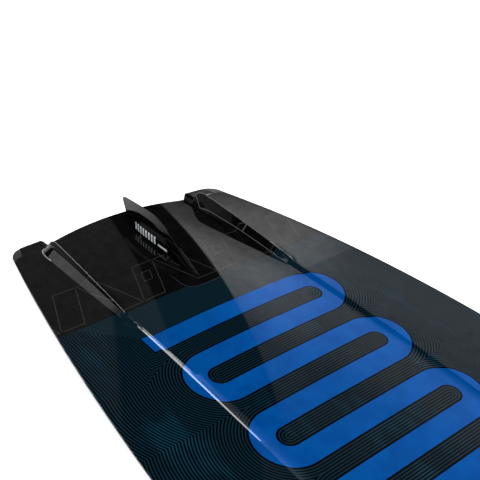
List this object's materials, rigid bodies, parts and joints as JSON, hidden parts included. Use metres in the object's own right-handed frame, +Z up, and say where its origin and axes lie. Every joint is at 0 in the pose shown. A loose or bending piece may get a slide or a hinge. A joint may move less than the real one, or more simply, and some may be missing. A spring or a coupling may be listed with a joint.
{
  "type": "wakeboard",
  "caption": "Twin-tip wakeboard lying base up: laminated rockered board with stepped rails, moulded rail fins, bolted centre fins and threaded binding inserts in the deck.",
  "frame": {"origin": "centre of the board, level with the deck edges of the two tips that it lies on", "axes": "+X along the board towards its tip, +Y across it, +Z up out of the base; the board lies base up"},
  "size_m": [1.39, 0.4248, 0.0677],
  "materials": {
    "base_print": "gloss printed film, black with blue and teal line work",
    "deck_print": "satin printed film",
    "edge_urethane": "satin moulded urethane",
    "glass_laminate": "cured glass fibre and epoxy",
    "foam": "milled closed-cell foam",
    "hard_block": "moulded dense block",
    "fin_black": "polished moulded composite",
    "brass": "machined",
    "stainless": "machined stainless steel",
    "sleeve_alloy": "turned"
  },
  "bodies": {
    "root": {"centre_fin_tip": "fin_black", "fin_inserts_tip": "brass", "fin_screws_tip": "stainless", "fin_washers_tip": "stainless", "fin_sleeves_tip": "sleeve_alloy", "fin_hard_point_tip": "hard_block", "rail_fin_tip_left": "base_print", "insert_strip_tip_left": "hard_block", "binding_inserts_tip_left": "brass", "rail_fin_tip_right": "base_print", "insert_strip_tip_right": "hard_block", "binding_inserts_tip_right": "brass", "centre_fin_tail": "fin_black", "fin_inserts_tail": "brass", "fin_screws_tail": "stainless", "fin_washers_tail": "stainless", "fin_sleeves_tail": "sleeve_alloy", "fin_hard_point_tail": "hard_block", "rail_fin_tail_left": "base_print", "insert_strip_tail_left": "hard_block", "binding_inserts_tail_left": "brass", "rail_fin_tail_right": "base_print", "insert_strip_tail_right": "hard_block", "binding_inserts_tail_right": "brass", "base_sheet": "base_print", "base_laminate": "glass_laminate", "core": "foam", "deck_laminate": "glass_laminate", "deck_sheet": "deck_print", "edge_band": "edge_urethane"}
  },
  "joints": []
}
